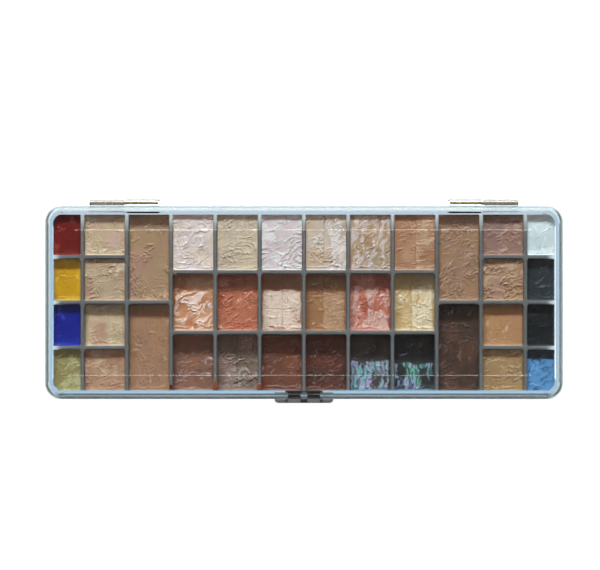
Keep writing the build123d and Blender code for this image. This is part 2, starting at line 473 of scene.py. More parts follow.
def makeLid():
    form, latch = lidForm, latchForm
    lid = addBlock("lid_moulding", (-halfLength, halfLength), (-halfWidth, halfWidth),
                   (boxForm["lidBottom"], form["top"]))
    roundEdges(lid, lambda m, d, bend: isUpright(d), boxForm["corner"], 10)
    roundEdges(lid, lambda m, d, bend: abs(m.z - form["top"]) < 0.01, form["topRound"], 4)
    pick(lid, "FACE", lambda m, n, area: n.z < -0.99)  # hollow underside
    bpy.ops.mesh.inset(thickness=form["skirt"] * mm)
    pushUp(form["underside"] - form["slantHeight"] - boxForm["lidBottom"])
    bpy.ops.mesh.inset(thickness=form["slantWidth"] * mm, depth=-form["slantHeight"] * mm)
    done()
    replaceTop(lid, form["top"], form["panelX"], form["panelY"], form["panelCorner"], form["top"])
    pickTop(lid, form["top"])  # raised panel
    pushUp(form["stepRise"])
    bpy.ops.mesh.inset(thickness=form["stepWidth"] * mm, depth=form["stepHeight"] * mm)
    bpy.ops.mesh.inset(thickness=form["shoulder"] * mm, depth=form["shoulderRise"] * mm)
    done()
    for span in bothSides(latch["window"]):
        depth = (-halfWidth - cutPast, latch["windowDepth"] - halfWidth)
        combine(lid, addBlock("window", span, depth, latch["windowHeights"]), "DIFFERENCE")
    reach = latch["window"][1] + latch["reach"]
    socket = addRod("socket", (-reach, reach), latch["axisY"], latch["axisZ"],
                    latch["trunnion"] + latch["trunnionPlay"], 24)
    combine(lid, socket, "DIFFERENCE")
    for span in bothSides(hingeForm["outer"]):
        clearKnuckle(lid, span)
    for span in bothSides(hingeForm["inner"]):
        addKnuckle(lid, span, 1)
    for span in bothSides((hingeForm["inner"][0] + hingeForm["boreWall"], hingeForm["inner"][1] + cutPast)):
        combine(lid, addRod("bore", span, hingeY, boxForm["rim"], hingeForm["bore"]), "DIFFERENCE")
    smoothRounds(lid, lambda m, n, area: area > 300 or m.z > form["top"] and n.z < 0.97)
    finishPiece(lid, lidPlastic, "lid", "lid")


makeLid()
print("lid moulded")


def makeLatch():
    form = latchForm
    half = form["width"] / 2
    height, back = form["backSlope"][0], form["upperBack"]
    latch = addBlock("latch_moulding", (-half, half), (-form["front"], -back), (height, form["top"]))
    straight, hook = form["lowerBack"], form["lowerBack"] - form["hook"]
    steps = ((form["backSlope"][1], straight), (form["hookSlope"][0], straight), (form["hookSlope"][1], hook),
             (form["hookFoot"][0], hook), (form["hookFoot"][1], straight), (form["bottom"], straight))
    pick(latch, "FACE", lambda m, n, area: n.z < -0.9)
    for nextHeight, nextBack in steps:  # the lower half clears the catch and ends in a hook
        pushUp(nextHeight - height)
        ratio = (form["front"] - nextBack) / (form["front"] - back)
        bpy.ops.transform.resize(value=(1, ratio, 1), center_override=(0, -form["front"] * mm, 0))
        height, back = nextHeight, nextBack
    done()
    roundEdges(latch, lambda m, d, bend: isUpright(d) and m.y < -form["front"] + 0.01
               and abs(m.x) > half - 0.1, form["cornerRound"], 6)
    pick(latch, "VERT", lambda m: m.z > form["lipTop"] and m.y < -form["lowerBack"] - 0.1)
    ratio = (form["face"] - form["upperBack"]) / (form["front"] - form["upperBack"])
    bpy.ops.transform.resize(value=(1, ratio, 1), center_override=(0, -form["upperBack"] * mm, 0))
    done()
    roundEdges(latch, lambda m, d, bend: bend > 50 and m.y < -form["lowerBack"] - 0.2
               and (m.z > form["top"] - 0.01 or m.z < form["bottom"] + 0.01), form["softEdge"], 2)
    window, gap = form["window"], form["fingerGap"]
    for low, high in bothSides((window[0] + gap, window[1] - gap)):
        arm = addBlock("arm", (low, high), (form["armInset"] - form["face"], form["axisY"]),
                       (form["axisZ"] - form["finger"], form["axisZ"] + form["finger"]))
        roundEdges(arm, lambda m, d, bend: abs(d.x) > 0.9 and m.y < -form["face"] + 0.1
                   and m.z > form["axisZ"], form["finger"], 5)
        combine(arm, addRod("finger", (low, high), form["axisY"], form["axisZ"], form["finger"], 32), "UNION")
        heel = addBlock("heel", (low, high), (form["axisY"] - 0.1, form["axisY"] + form["heelReach"]),
                        (form["axisZ"] - form["heelLow"], form["axisZ"] - form["heelHigh"]))
        roundEdges(heel, lambda m, d, bend: abs(d.x) > 0.9 and m.y > form["axisY"] + 1, form["heelRound"], 2)
        combine(arm, heel, "UNION")
        combine(latch, arm, "UNION")
    play = form["trunnionPlay"]
    for span in bothSides((play, window[1] + form["reach"] - play)):
        combine(latch, addRod("trunnion", span, form["axisY"], form["axisZ"], form["trunnion"], 24), "UNION")
    closeHoles(latch)
    smoothRounds(latch, lambda m, n, area: area > 3)
    finishPiece(latch, latchPlastic, "latch", "front_latch")


makeLatch()
print("latch moulded")


# a ribbed brass wire: each ring is a swelling between two waists; the five places
# are shares of a ring's length, and waist and endSize shares of its radius
pinForm = dict(ringPitch=1.5, ringStart=0.08, ringEnd=0.46, waistStart=0.58, waistEnd=0.84, nextRing=0.98,
               waist=0.78, endSize=0.8, sides=20)


def makePin(node):
    low, high = (np.array(corner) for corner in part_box(node))
    start, length = low[0], high[0] - low[0]
    axis = ((low + high) / 2)[1:]
    radius = (high[2] - low[2]) / 2
    deselectAll()
    bpy.ops.mesh.primitive_circle_add(vertices=pinForm["sides"], radius=radius * pinForm["endSize"],
                                      fill_type="NGON", location=(start, *axis),
                                      rotation=(0, math.pi / 2, 0))
    pin = bpy.context.object
    pin.name = node + "_brass"
    bpy.ops.object.transform_apply(location=True, rotation=True, scale=True)
    rings = round(length / mm / pinForm["ringPitch"])
    pitch = length / rings
    places = [start + pinForm["ringStart"] * pitch]
    sizes = [1.0]
    for ring in range(rings):
        begin = start + ring * pitch
        places += [begin + pinForm[name] * pitch for name in ("ringEnd", "waistStart", "waistEnd")]
        sizes += [1.0, pinForm["waist"], pinForm["waist"]]
        if ring < rings - 1:
            places.append(begin + pinForm["nextRing"] * pitch)
            sizes.append(1.0)
    places.append(start + length)
    sizes.append(pinForm["endSize"])
    at, size = start, pinForm["endSize"]
    pick(pin, "FACE", lambda m, n, area: True)
    for place, nextSize in zip(places, sizes):
        bpy.ops.mesh.extrude_region_move(TRANSFORM_OT_translate={"value": (place - at, 0, 0)})
        bpy.ops.transform.resize(value=(1, nextSize / size, nextSize / size), center_override=(place, *axis))
        at, size = place, nextSize
    bpy.ops.mesh.select_all(action="SELECT")
    bpy.ops.mesh.normals_make_consistent(inside=False)
    done()
    smooth(pin, 50)
    finishPiece(pin, brass, "tray", node)


for node in ("hinge_pin_left", "hinge_pin_right"):
    makePin(node)
print("hinge pins turned")


# paint. body is the colour of the well, second drifts through it, veil is the paler paint dragged over it,
# and also a painted highlight where it is laid on ridges, glints and the front edge. deep is painted shade in
# creases, grooves and along the walls, and a random mottle too. cover is how much veil there is, edge how
# softly it ends, layer how thick it lies, reach how far back it goes (1 is the whole well), which leaves the
# shaded rear bare, and slits the gaps in it. turn is the way the knife went, drag its marks, swirl how far
# they wander, crinkle and grain the small relief, relief the large, glints the number of short steep ridges.
# split is where two spreads meet side by side, rightCover the veil on the right one, seam a joint across,
# pearl a painted bluish sheen in the veil.

paintLooks = {
    "a1_brick_red": dict(body=(118, 22, 20), second=(108, 24, 16), veil=(150, 60, 46), deep=(80, 10, 14),
                         cover=0.22, turn=80, drag=0.5, crinkle=0.1, grain=0.25, relief=0.3, glints=2),
    "a2_golden_yellow": dict(body=(224, 174, 28), second=(206, 154, 22), veil=(236, 196, 84),
                             deep=(140, 92, 8), cover=0.25, turn=85, drag=0.6, crinkle=0.3, grain=0.3,
                             relief=0.3, glints=3),
    "a3_royal_blue": dict(body=(30, 42, 152), second=(24, 34, 136), veil=(60, 80, 186), deep=(12, 18, 84),
                          cover=0.15, turn=80, drag=0.5, crinkle=0.1, grain=0.3, relief=0.2, glints=2),
    "a4_olive": dict(body=(166, 156, 104), second=(154, 142, 90), veil=(190, 184, 134), deep=(98, 88, 42),
                     cover=0.35, turn=30, drag=0.6, crinkle=0.5, grain=0.6, relief=0.4, glints=3),
    "b1_pale_beige": dict(body=(200, 174, 140), second=(206, 172, 152), veil=(222, 204, 176),
                          deep=(150, 104, 74), cover=0.35, turn=10, drag=0.5, crinkle=0.9, grain=0.6,
                          relief=0.5, glints=3),
    "b2_rose_beige": dict(body=(180, 146, 116), second=(194, 168, 136), veil=(212, 188, 160),
                          deep=(130, 88, 64), cover=0.3, turn=60, drag=0.5, crinkle=1.0, grain=0.6,
                          relief=0.5, glints=4),
    "b3_sand": dict(body=(206, 182, 146), second=(192, 152, 126), veil=(222, 202, 174), deep=(138, 98, 68),
                    cover=0.3, turn=2, drag=1.0, crinkle=0.8, grain=0.8, relief=0.4, glints=3),
    "b4_warm_beige": dict(body=(190, 150, 118), second=(178, 134, 106), veil=(206, 172, 142),
                          deep=(118, 78, 54), cover=0.3, turn=8, drag=0.6, crinkle=0.7, grain=0.7,
                          relief=0.4, glints=3),
    "c1_tan": dict(body=(172, 140, 106), second=(176, 138, 114), veil=(200, 166, 134), deep=(116, 86, 62),
                   cover=0.2, turn=85, drag=0.5, crinkle=1.0, grain=0.6, relief=0.4, glints=4, edge=0.6),
    "c2_caramel": dict(body=(172, 130, 98), second=(168, 128, 100), veil=(200, 164, 132),
                       deep=(92, 58, 38), cover=0.2, turn=80, drag=0.5, crinkle=0.5, grain=0.9,
                       relief=0.3, glints=4, edge=0.6),
    "d1_shell_pink": dict(body=(224, 206, 196), second=(222, 202, 180), veil=(236, 220, 216),
                          deep=(186, 136, 118), cover=0.42, turn=55, drag=0.9, crinkle=0.8, grain=0.3,
                          relief=0.8, glints=8, edge=0.4, layer=0.10, swirl=1.6),
    "d2_peach": dict(body=(200, 132, 92), second=(218, 160, 118), veil=(244, 214, 196), deep=(140, 72, 38),
                     cover=0.6, turn=35, drag=0.9, crinkle=0.9, grain=0.4, relief=0.9, glints=12,
                     edge=0.26, layer=0.16, swirl=2.0, reach=0.72),
    "d3_chestnut": dict(body=(138, 98, 78), second=(148, 102, 80), veil=(196, 182, 184), deep=(64, 40, 26),
                        cover=0.1, turn=15, drag=0.7, crinkle=0.8, grain=0.5, relief=0.7, glints=16,
                        edge=0.2, reach=0.6),
    "e1_ivory": dict(body=(208, 188, 158), second=(202, 182, 160), veil=(218, 202, 178), deep=(164, 134, 90),
                     cover=0.35, turn=88, drag=0.5, crinkle=1.0, grain=0.7, relief=0.4, glints=4, edge=0.6),
    "e2_terracotta": dict(body=(190, 104, 74), second=(196, 118, 86), veil=(226, 170, 148),
                          deep=(110, 40, 24), cover=0.14, turn=25, drag=0.8, crinkle=1.0, grain=0.9,
                          relief=0.7, glints=12, edge=0.16, layer=0.12, reach=0.7),
    "e3_taupe": dict(body=(132, 110, 94), second=(152, 122, 112), veil=(166, 154, 144), deep=(72, 48, 34),
                     cover=0.35, turn=20, drag=1.0, crinkle=1.5, grain=0.7, relief=0.6, glints=8,
                     edge=0.3, swirl=1.6, reach=0.62, split=-0.05, rightCover=0.35),
    "f1_porcelain": dict(body=(214, 204, 196), second=(220, 202, 200), veil=(230, 224, 220),
                         deep=(176, 144, 132), cover=0.45, turn=20, drag=0.8, crinkle=1.0, grain=1.1,
                         relief=0.5, glints=6),
    "f2_cream": dict(body=(170, 112, 80), second=(182, 128, 92), veil=(238, 214, 194), deep=(180, 104, 56),
                     cover=0.92, turn=5, drag=0.5, crinkle=0.5, grain=0.4, relief=0.5, glints=6,
                     edge=0.12, layer=0.14, reach=0.72, split=0.0, seam=-0.25),
    "f3_russet": dict(body=(118, 74, 58), second=(130, 78, 56), veil=(176, 146, 134), deep=(56, 28, 20),
                      cover=0.1, turn=60, drag=0.7, crinkle=0.8, grain=0.5, relief=0.6, glints=11,
                      edge=0.2, reach=0.6),
    "g1_oatmeal": dict(body=(208, 190, 172), second=(206, 178, 150), veil=(230, 218, 210),
                       deep=(152, 112, 80), cover=0.45, turn=75, drag=1.0, crinkle=1.0, grain=0.9,
                       relief=0.6, glints=7, edge=0.5, split=-0.12, rightCover=0.6, slits=0.4),
    "g2_apricot_tan": dict(body=(164, 116, 78), second=(170, 124, 84), veil=(192, 154, 120),
                           deep=(134, 80, 42), cover=0.25, turn=10, drag=0.6, crinkle=0.7, grain=0.5,
                           relief=0.6, glints=6, edge=0.25, layer=0.12, reach=0.7, split=-0.15,
                           rightCover=0.75, slits=0.3),
    "g3_cocoa": dict(body=(88, 58, 48), second=(106, 60, 48), veil=(150, 124, 114), deep=(42, 24, 18),
                     cover=0.12, turn=50, drag=0.7, crinkle=0.8, grain=0.4, relief=0.6, glints=9,
                     edge=0.2, reach=0.6),
    "h1_mauve_beige": dict(body=(180, 158, 128), second=(184, 150, 116), veil=(218, 198, 190),
                           deep=(136, 96, 62), cover=0.6, turn=82, drag=1.0, crinkle=1.0, grain=0.8,
                           relief=0.7, glints=9, edge=0.4, layer=0.10, slits=0.6),
    "h2_coral_pink": dict(body=(194, 110, 88), second=(220, 144, 120), veil=(222, 184, 170),
                          deep=(164, 56, 40), cover=0.55, turn=80, drag=1.0, crinkle=1.0, grain=0.6,
                          relief=0.8, glints=10, edge=0.3, layer=0.14, reach=0.78, split=-0.15,
                          rightCover=0.7, slits=0.5),
    "h3_charcoal": dict(body=(78, 72, 66), second=(64, 58, 54), veil=(160, 180, 196), deep=(40, 20, 14),
                        cover=0.66, turn=84, drag=1.0, crinkle=0.6, grain=0.2, relief=0.7, glints=8,
                        edge=0.3, layer=0.16, reach=0.52, pearl=(130, 186, 190), slits=0.6),
    "i1_honey": dict(body=(186, 142, 110), second=(170, 124, 92), veil=(200, 168, 134), deep=(144, 90, 52),
                     cover=0.12, turn=4, drag=0.9, crinkle=0.7, grain=0.5, relief=0.7, glints=10,
                     edge=0.35, layer=0.1, split=0.05, rightCover=0.5, slits=0.5),
    "i2_pale_yellow": dict(body=(220, 190, 140), second=(210, 174, 118), veil=(240, 222, 188),
                           deep=(166, 134, 76), cover=0.2, turn=82, drag=0.9, crinkle=0.7, grain=0.5,
                           relief=0.6, glints=6, edge=0.2, layer=0.12, reach=0.8, split=-0.12,
                           rightCover=0.8, slits=0.4),
    "i3_pearl_black": dict(body=(58, 58, 58), second=(48, 48, 50), veil=(156, 180, 212), deep=(8, 26, 22),
                           cover=0.55, turn=88, drag=1.0, crinkle=0.6, grain=0.2, relief=0.8, glints=8,
                           edge=0.3, layer=0.16, reach=0.48, pearl=(116, 186, 166), slits=0.7),
    "j1_fawn": dict(body=(168, 130, 98), second=(164, 128, 104), veil=(198, 164, 134), deep=(108, 74, 54),
                    cover=0.2, turn=84, drag=0.5, crinkle=1.0, grain=0.7, relief=0.3, glints=3, edge=0.6),
    "j2_espresso": dict(body=(78, 58, 48), second=(94, 66, 52), veil=(116, 94, 82), deep=(42, 28, 22),
                        cover=0.2, turn=84, drag=0.5, crinkle=1.0, grain=0.3, relief=0.3, glints=8),
    "k1_mauve_brown": dict(body=(156, 120, 102), second=(148, 116, 104), veil=(178, 146, 130),
                           deep=(98, 64, 48), cover=0.35, turn=12, drag=0.7, crinkle=0.8, grain=0.9,
                           relief=0.4, glints=4),
    "k2_amber_beige": dict(body=(176, 138, 104), second=(172, 136, 112), veil=(198, 166, 136),
                           deep=(122, 78, 48), cover=0.35, turn=20, drag=0.6, crinkle=1.4, grain=0.5,
                           relief=0.5, glints=4),
    "k3_ochre_tan": dict(body=(186, 140, 96), second=(188, 136, 100), veil=(214, 178, 144),
                         deep=(130, 86, 54), cover=0.15, turn=60, drag=0.5, crinkle=0.4, grain=0.3,
                         relief=0.4, glints=4, edge=0.6),
    "k4_light_ochre": dict(body=(176, 142, 100), second=(164, 130, 90), veil=(202, 172, 132),
                           deep=(116, 82, 44), cover=0.35, turn=10, drag=0.6, crinkle=0.8, grain=0.6,
                           relief=0.5, glints=4),
    "l1_white": dict(body=(220, 232, 230), second=(206, 220, 220), veil=(240, 248, 246),
                     deep=(176, 192, 192), cover=0.35, turn=80, drag=0.5, crinkle=0.3, grain=0.3,
                     relief=0.4, glints=3),
    "l2_dark_grey": dict(body=(50, 55, 57), second=(48, 54, 58), veil=(84, 92, 96), deep=(34, 37, 39),
                         cover=0.25, turn=15, drag=0.6, crinkle=0.6, grain=0.5, relief=0.4, glints=4),
    "l3_black": dict(body=(28, 32, 34), second=(24, 28, 30), veil=(46, 52, 56), deep=(20, 23, 25),
                     cover=0.25, turn=20, drag=0.6, crinkle=0.6, grain=0.5, relief=0.3, glints=3),
    "l4_sky_blue": dict(body=(58, 70, 80), second=(52, 64, 74), veil=(98, 156, 206), deep=(44, 74, 118),
                        cover=0.95, turn=30, drag=0.5, crinkle=0.8, grain=0.9, relief=0.5, glints=4,
                        edge=0.9, reach=0.8),
}
usualPaint = dict(slits=0.0, edge=0.35, layer=0.05, swirl=1.1, reach=None, split=None, rightCover=None,
                  seam=None, pearl=None)
# how high the knife's marks stand in mm, from the broadest to the finest, at a strength of 1
markHeights = dict(swell=0.22, wave=0.10, band=0.05, scratch=0.036, crease=0.24, fold=0.20, crumb=0.032,
                   wrinkle=0.17)
grooveForm = dict(depth=0.10, halfWidth=0.22, splitSway=0.12, seamSway=0.3)
liftForm = dict(height=0.34, halfWidth=0.34, fromWall=1.25, sway=0.55, ripple=0.2, creaseBefore=0.55)
# place, turn and size of a glint: where is in shares of the well's half width and half depth, and veil the
# painted highlight laid on it
glintForm = dict(turn=(0.15, 0.55), whereX=(-0.8, 0.8), whereY=(-0.85, 0.35), length=(0.8, 3.4),
                 halfWidth=(0.15, 0.27), height=(0.09, 0.20), bow=(-0.14, 0.14), wobble=0.12, veil=0.45)
# paint drawn up the walls of a well: its height, and how far in mm it reaches from the wall
clingForm = dict(side=0.22, sideReach=0.4, front=0.42, frontReach=0.5)


def smoothStep(value):
    value = np.clip(value, 0, 1)
    return value * value * (3 - 2 * value)


# smooth random field between -1 and 1 on a lattice of the given cell
def softField(x, y, cell, draws):
    columns = int((x.max() - x.min()) / cell) + 4
    rows = int((y.max() - y.min()) / cell) + 4
    lattice = draws.uniform(-1, 1, (rows, columns))
    u, v = (x - x.min()) / cell, (y - y.min()) / cell
    i, j = u.astype(int), v.astype(int)
    fu, fv = smoothStep(u - i), smoothStep(v - j)
    near = lattice[j, i] * (1 - fu) + lattice[j, i + 1] * fu
    far = lattice[j + 1, i] * (1 - fu) + lattice[j + 1, i + 1] * fu
    return near * (1 - fv) + far * fv


# the groove between two spreads, side by side or one behind the other, and the veil that each has
def meetSpreads(x, y, halfX, halfY, look, draws):
    form = grooveForm
    cover = np.full_like(x, look["cover"])
    groove = np.zeros_like(x)
    if look["split"] is not None:
        place = look["split"] * halfX + form["splitSway"] * softField(y, y * 0, 2.0, draws)
        cover = np.where(x > place, look["rightCover"] or look["cover"], look["cover"])
        groove = np.exp(-((x - place) / form["halfWidth"]) ** 2)
    if look["seam"] is not None:
        fromSeam = y - look["seam"] * halfY + form["seamSway"] * softField(x, x * 0, 3, draws)
        groove = np.maximum(groove, np.exp(-(fromSeam / form["halfWidth"]) ** 2))
    return cover, groove


# a low wavy ridge where the knife lifted near the front wall, with painted shade in front of it and a painted
# highlight just behind its crest
def liftKnife(x, y, halfY, look, draws, level, veil, deep):
    form = liftForm
    sway = form["sway"] * softField(x, x * 0, 2.6, draws)
    lift = -halfY + form["fromWall"] + sway + form["ripple"] * softField(x, x * 0, 0.9, draws)
    strength = np.clip(0.45 + 0.7 * softField(x, x * 0, 3.5, draws), 0, 1)
    ridge = np.exp(-((y - lift) / form["halfWidth"]) ** 2)
    level = level + look["relief"] * form["height"] * strength * ridge
    deep = np.maximum(deep, 0.5 * strength * np.exp(-((y - lift + form["creaseBefore"]) / 0.22) ** 2))
    veil = np.maximum(veil, 0.5 * strength * np.exp(-((y - lift - 0.1) / 0.3) ** 2))
    return level, veil, deep


# short steep ridges that catch the light, each with a painted highlight of pale veil along it
def addGlints(x, y, halfX, halfY, look, draws, level, veil):
    form = glintForm
    for glint in range(look["glints"]):
        angle = draws.normal(*form["turn"])
        cx = draws.uniform(*form["whereX"]) * halfX
        cy = draws.uniform(*form["whereY"]) * halfY
        length = draws.uniform(*form["length"])
        width = draws.uniform(*form["halfWidth"])
        u = (x - cx) * math.cos(angle) + (y - cy) * math.sin(angle)
        v = (y - cy) * math.cos(angle) - (x - cx) * math.sin(angle)
        v = v + draws.uniform(*form["bow"]) * u * u
        v = v + form["wobble"] * np.sin(2.2 * u + draws.uniform(0, 6))
        mark = np.exp(-(v / width) ** 2) * smoothStep((length / 2 - abs(u)) / 0.5 + 0.5)
        level = level + draws.uniform(*form["height"]) * mark
        veil = np.maximum(veil, form["veil"] * mark)
    return level, veil


# height in mm over the nominal surface, how much veil, deep (painted shade) and second colour shows, and the
# pearl's hue
def spreadPaint(x, y, halfX, halfY, look, draws):
    wander = look["swirl"]
    marks = markHeights
    wx = x + wander * softField(x, y, 3.4, draws) + 0.25 * wander * softField(x, y, 1.1, draws)
    wy = y + wander * softField(x, y, 3.4, draws) + 0.25 * wander * softField(x, y, 1.1, draws)
    turn = math.radians(look["turn"])
    along = wx * math.cos(turn) + wy * math.sin(turn)
    across = wy * math.cos(turn) - wx * math.sin(turn)
    broad = softField(along / 3.2, across, 1.7, draws)
    fine = softField(along / 6, across, 0.6, draws)
    patches = smoothStep(0.5 + 1.4 * softField(x, y, 4.2, draws))
    ux, uy = 0.87 * wx + 0.5 * wy, 0.87 * wy - 0.5 * wx  # turned, so that creases run askew
    crease = 1 - np.minimum(1, 3.0 * abs(softField(ux, uy, 1.7, draws)))
    fold = 1 - np.minimum(1, 3.2 * abs(softField(ux * 0.7, uy * 1.3, 1.2, draws)))
    crumbs = softField(x, y, 0.75, draws) + 0.7 * softField(x, y, 0.42, draws)
    level = look["relief"] * (marks["swell"] * softField(x, y, 6.5, draws)
                              + marks["wave"] * softField(x, y, 2.6, draws))
    level = level + look["drag"] * (marks["band"] * broad + marks["scratch"] * fine) * (0.4 + 0.6 * patches)
    level = level + look["crinkle"] * patches * (marks["crease"] * crease ** 2 + marks["fold"] * fold ** 2)
    level = level + look["grain"] * marks["crumb"] * crumbs * (0.35 + 0.65 * patches)
    ragged = smoothStep(0.45 + 1.5 * softField(x, y, 3.0, draws))
    wrinkle = 1 - np.minimum(1, 3.4 * abs(softField(ux * 0.8, uy * 1.5, 1.3, draws) + 0.12 * crumbs))
    level = level + (0.25 + look["crinkle"]) * ragged * (marks["wrinkle"] * wrinkle ** 2)

    # the veil, and where it lies
    blotch = 0.36 * softField(wx, wy, 4.6, draws) + 0.42 * softField(along / 2.8, across, 1.35, draws)
    blotch = blotch + 0.30 * softField(along / 2.2, across, 0.62, draws) + 0.10 * crumbs
    cover, groove = meetSpreads(x, y, halfX, halfY, look, draws)
    veil = smoothStep((blotch - 0.55 + 1.2 * cover) / look["edge"])
    slit = softField(along / 7, across, 0.55, draws)
    veil = veil * (1 - look["slits"] * smoothStep((slit - 0.1) / 0.25))
    # the veil stops short of the rear of the well, so the rear, where the shadow falls, keeps the darker body
    # as painted shade
    if look["reach"] is not None:
        rear = -halfY + 2 * halfY * look["reach"] + 0.8 * softField(x, x * 0, 3.0, draws)
        veil = veil * smoothStep((rear - y) / 0.9)
    if look["layer"] > usualPaint["layer"]:  # thick veils stop short of the walls
        wallGap = np.minimum(halfX - abs(x), halfY - abs(y)) + 0.5 * softField(x, y, 1.8, draws)
        veil = veil * smoothStep((wallGap - 0.35) / 0.35)
        veil = veil * (1 - 0.7 * smoothStep((fold - 0.72) / 0.25))
    level = level + look["layer"] * veil - grooveForm["depth"] * groove

    # painted shade in the creases, the groove between spreads and the wrinkles
    deep = 0.55 * groove * (0.5 + 0.5 * patches)
    deep = np.maximum(deep, 0.7 * patches * smoothStep((fold - 0.8) / 0.2) * look["crinkle"])
    beside = softField(x, y, 1.0, draws)
    deep = np.maximum(deep, 0.6 * ragged * smoothStep((wrinkle - 0.72) / 0.28) * (0.6 + 0.4 * beside))

    level, veil, deep = liftKnife(x, y, halfY, look, draws, level, veil, deep)
    level, veil = addGlints(x, y, halfX, halfY, look, draws, level, veil)
    second = smoothStep(0.5 + 1.1 * softField(x, y, 6.0, draws) + 0.35 * broad)
    hue = smoothStep(0.5 + 1.5 * softField(wx, wy * 0.4, 1.7, draws))
    return level, np.clip(veil, 0, 1), np.clip(deep, 0, 1), second, hue


def makePaintMaterial(name, look):
    material, tree, shader = newMaterial(name)
    marks = addNode(tree, "ShaderNodeAttribute", attribute_name="spread")
    parts = addNode(tree, "ShaderNodeSeparateColor")
    tree.links.new(marks.outputs["Color"], parts.inputs["Color"])
    coloured = blendColours(tree, parts.outputs["Blue"], seen(*look["body"]), seen(*look["second"]))
    veil = seen(*look["veil"])
    # painted reflection: the pearl hue and a lilac tint laid into the veil stand for coloured reflections in
    # the gloss
    if look["pearl"]:
        sheen = blendColours(tree, marks.outputs["Alpha"], veil, seen(*look["pearl"]))
        violet = noiseField(tree, 260, detail=2)
        veil = blendColours(tree, remap(tree, violet, 0.5, 0.62, 0.0, 0.8), sheen, seen(184, 168, 210))
    coloured = blendColours(tree, parts.outputs["Red"], coloured, veil)
    coloured = blendColours(tree, parts.outputs["Green"], coloured, seen(*look["deep"]))
    mottle = noiseField(tree, 420, detail=5, roughness=0.65, stretch=(1, 0.4, 1), turn=look["turn"])
    coloured = blendColours(tree, remap(tree, mottle, 0.52, 0.75, 0.0, 0.30), coloured, seen(*look["deep"]))
    tree.links.new(coloured, shader.inputs["Base Color"])
    tree.links.new(remap(tree, noiseField(tree, 700, detail=3), 0.3, 0.7, 0.28, 0.48),
                   shader.inputs["Roughness"])
    shader.inputs["Specular IOR Level"].default_value = 0.5
    shader.inputs["Coat Weight"].default_value = 0.45
    shader.inputs["Coat Roughness"].default_value = 0.15
    wipe = noiseField(tree, 2400, detail=4, roughness=0.6, stretch=(1, 0.3, 1), turn=look["turn"])
    addBump(tree, shader, wipe, 0.3, 0.00006)
    return material


def isOuterCorner(key, sx, sy):
    onEnd = key[0] == "a" and sx < 0 or key[0] == "l" and sx > 0
    return onEnd and (key[1] == "1" and sy > 0 or key[1] == "4" and sy < 0)


# pushes the square grid's corners onto arcs as round as the well's
def roundCorners(x, y, halfX, halfY, key):
    for sx in (-1, 1):
        for sy in (-1, 1):
            radius = paintForm["fieldRound"] if isOuterCorner(key, sx, sy) else paintForm["wellRound"]
            u = (sx * x - (halfX - radius)) / radius
            v = (sy * y - (halfY - radius)) / radius
            inCorner = (u > 0) & (v > 0)
            u, v = u[inCorner], v[inCorner]
            x[inCorner] = sx * (halfX - radius + radius * u * np.sqrt(1 - v * v / 2))
            y[inCorner] = sy * (halfY - radius + radius * v * np.sqrt(1 - u * u / 2))


def makePaint(node, number):
    key = node[len("paint_"):]
    look = {**usualPaint, **paintLooks[key]}
    draws = np.random.default_rng(500 + number)
    low, high = (np.array(corner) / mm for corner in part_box(node))
    centre = (low + high) / 2
    halfX, halfY = (high - low)[:2] / 2
    deselectAll()
    bpy.ops.mesh.primitive_grid_add(x_subdivisions=round(2 * halfX / paintForm["step"]),
                                    y_subdivisions=round(2 * halfY / paintForm["step"]), size=2)
    piece = bpy.context.object
    piece.name = node + "_fill"
    mesh = piece.data
    points = np.zeros(len(mesh.vertices) * 3)
    mesh.vertices.foreach_get("co", points)
    points = points.reshape(-1, 3)
    x, y = points[:, 0] * halfX, points[:, 1] * halfY
    roundCorners(x, y, halfX, halfY, key)
    level, veil, deep, second, hue = spreadPaint(x, y, halfX, halfY, look, draws)
    wallGap = np.minimum(halfX - abs(x), halfY - abs(y))
    frontGap = halfY + y
    atSides = np.exp(-wallGap / clingForm["sideReach"]) * (0.55 + 0.45 * softField(x, y, 2.2, draws))
    atFront = np.exp(-frontGap / clingForm["frontReach"]) * (0.75 + 0.25 * softField(x, y, 2.2, draws))
    clinging = clingForm["side"] * atSides + clingForm["front"] * atFront
    # painted shade along the side and rear walls, kept off the front wall, where a pale line is painted as a
    # highlight
    deep = np.maximum(deep, 0.35 * np.exp(-wallGap / 0.3)) * (1 - np.exp(-frontGap / 0.4))
    veil = np.maximum(veil, 0.8 * np.exp(-frontGap / 0.35))
    z = np.minimum(high[2] + level + clinging, paintForm["roof"])
    placed = np.stack([x + centre[0], y + centre[1], z], axis=1) * mm
    mesh.vertices.foreach_set("co", placed.ravel())
    spread = mesh.color_attributes.new("spread", "FLOAT_COLOR", "POINT")
    spread.data.foreach_set("color", np.stack([veil, deep, second, hue], axis=1).ravel())
    bpy.ops.object.mode_set(mode="EDIT")
    bpy.ops.mesh.select_all(action="SELECT")
    bpy.ops.mesh.region_to_loop()
    pushUp(-1)
    bpy.ops.transform.resize(value=(1, 1, 0), center_override=(0, 0, low[2] * mm))
    bpy.ops.mesh.edge_face_add()
    bpy.ops.mesh.select_all(action="SELECT")
    bpy.ops.mesh.normals_make_consistent(inside=False)
    done()
    smooth(piece, 60)
    finishPiece(piece, makePaintMaterial(node, look), "tray", node)


for number, node in enumerate(paintNodes):
    makePaint(node, number)
print("paint spread in", len(paintNodes), "wells")


# paint wiped off on the ends of three dividers, a column, middle, length and width for each
smearForm = dict(columns=(-54, -36, -18), middle=(-34.4, -33.9, -34.2), length=(2.4, 3.9, 3.5),
                 width=(0.75, 1.2, 1.15), sink=0.35, height=0.25, points=28, insets=(0.16, 0.20),
                 rises=(0.5, 0.4, 0.1))  # each a share of height
smearLook = dict(body=(152, 82, 58), second=(140, 72, 50), veil=(176, 108, 84), deep=(96, 44, 28), turn=85)


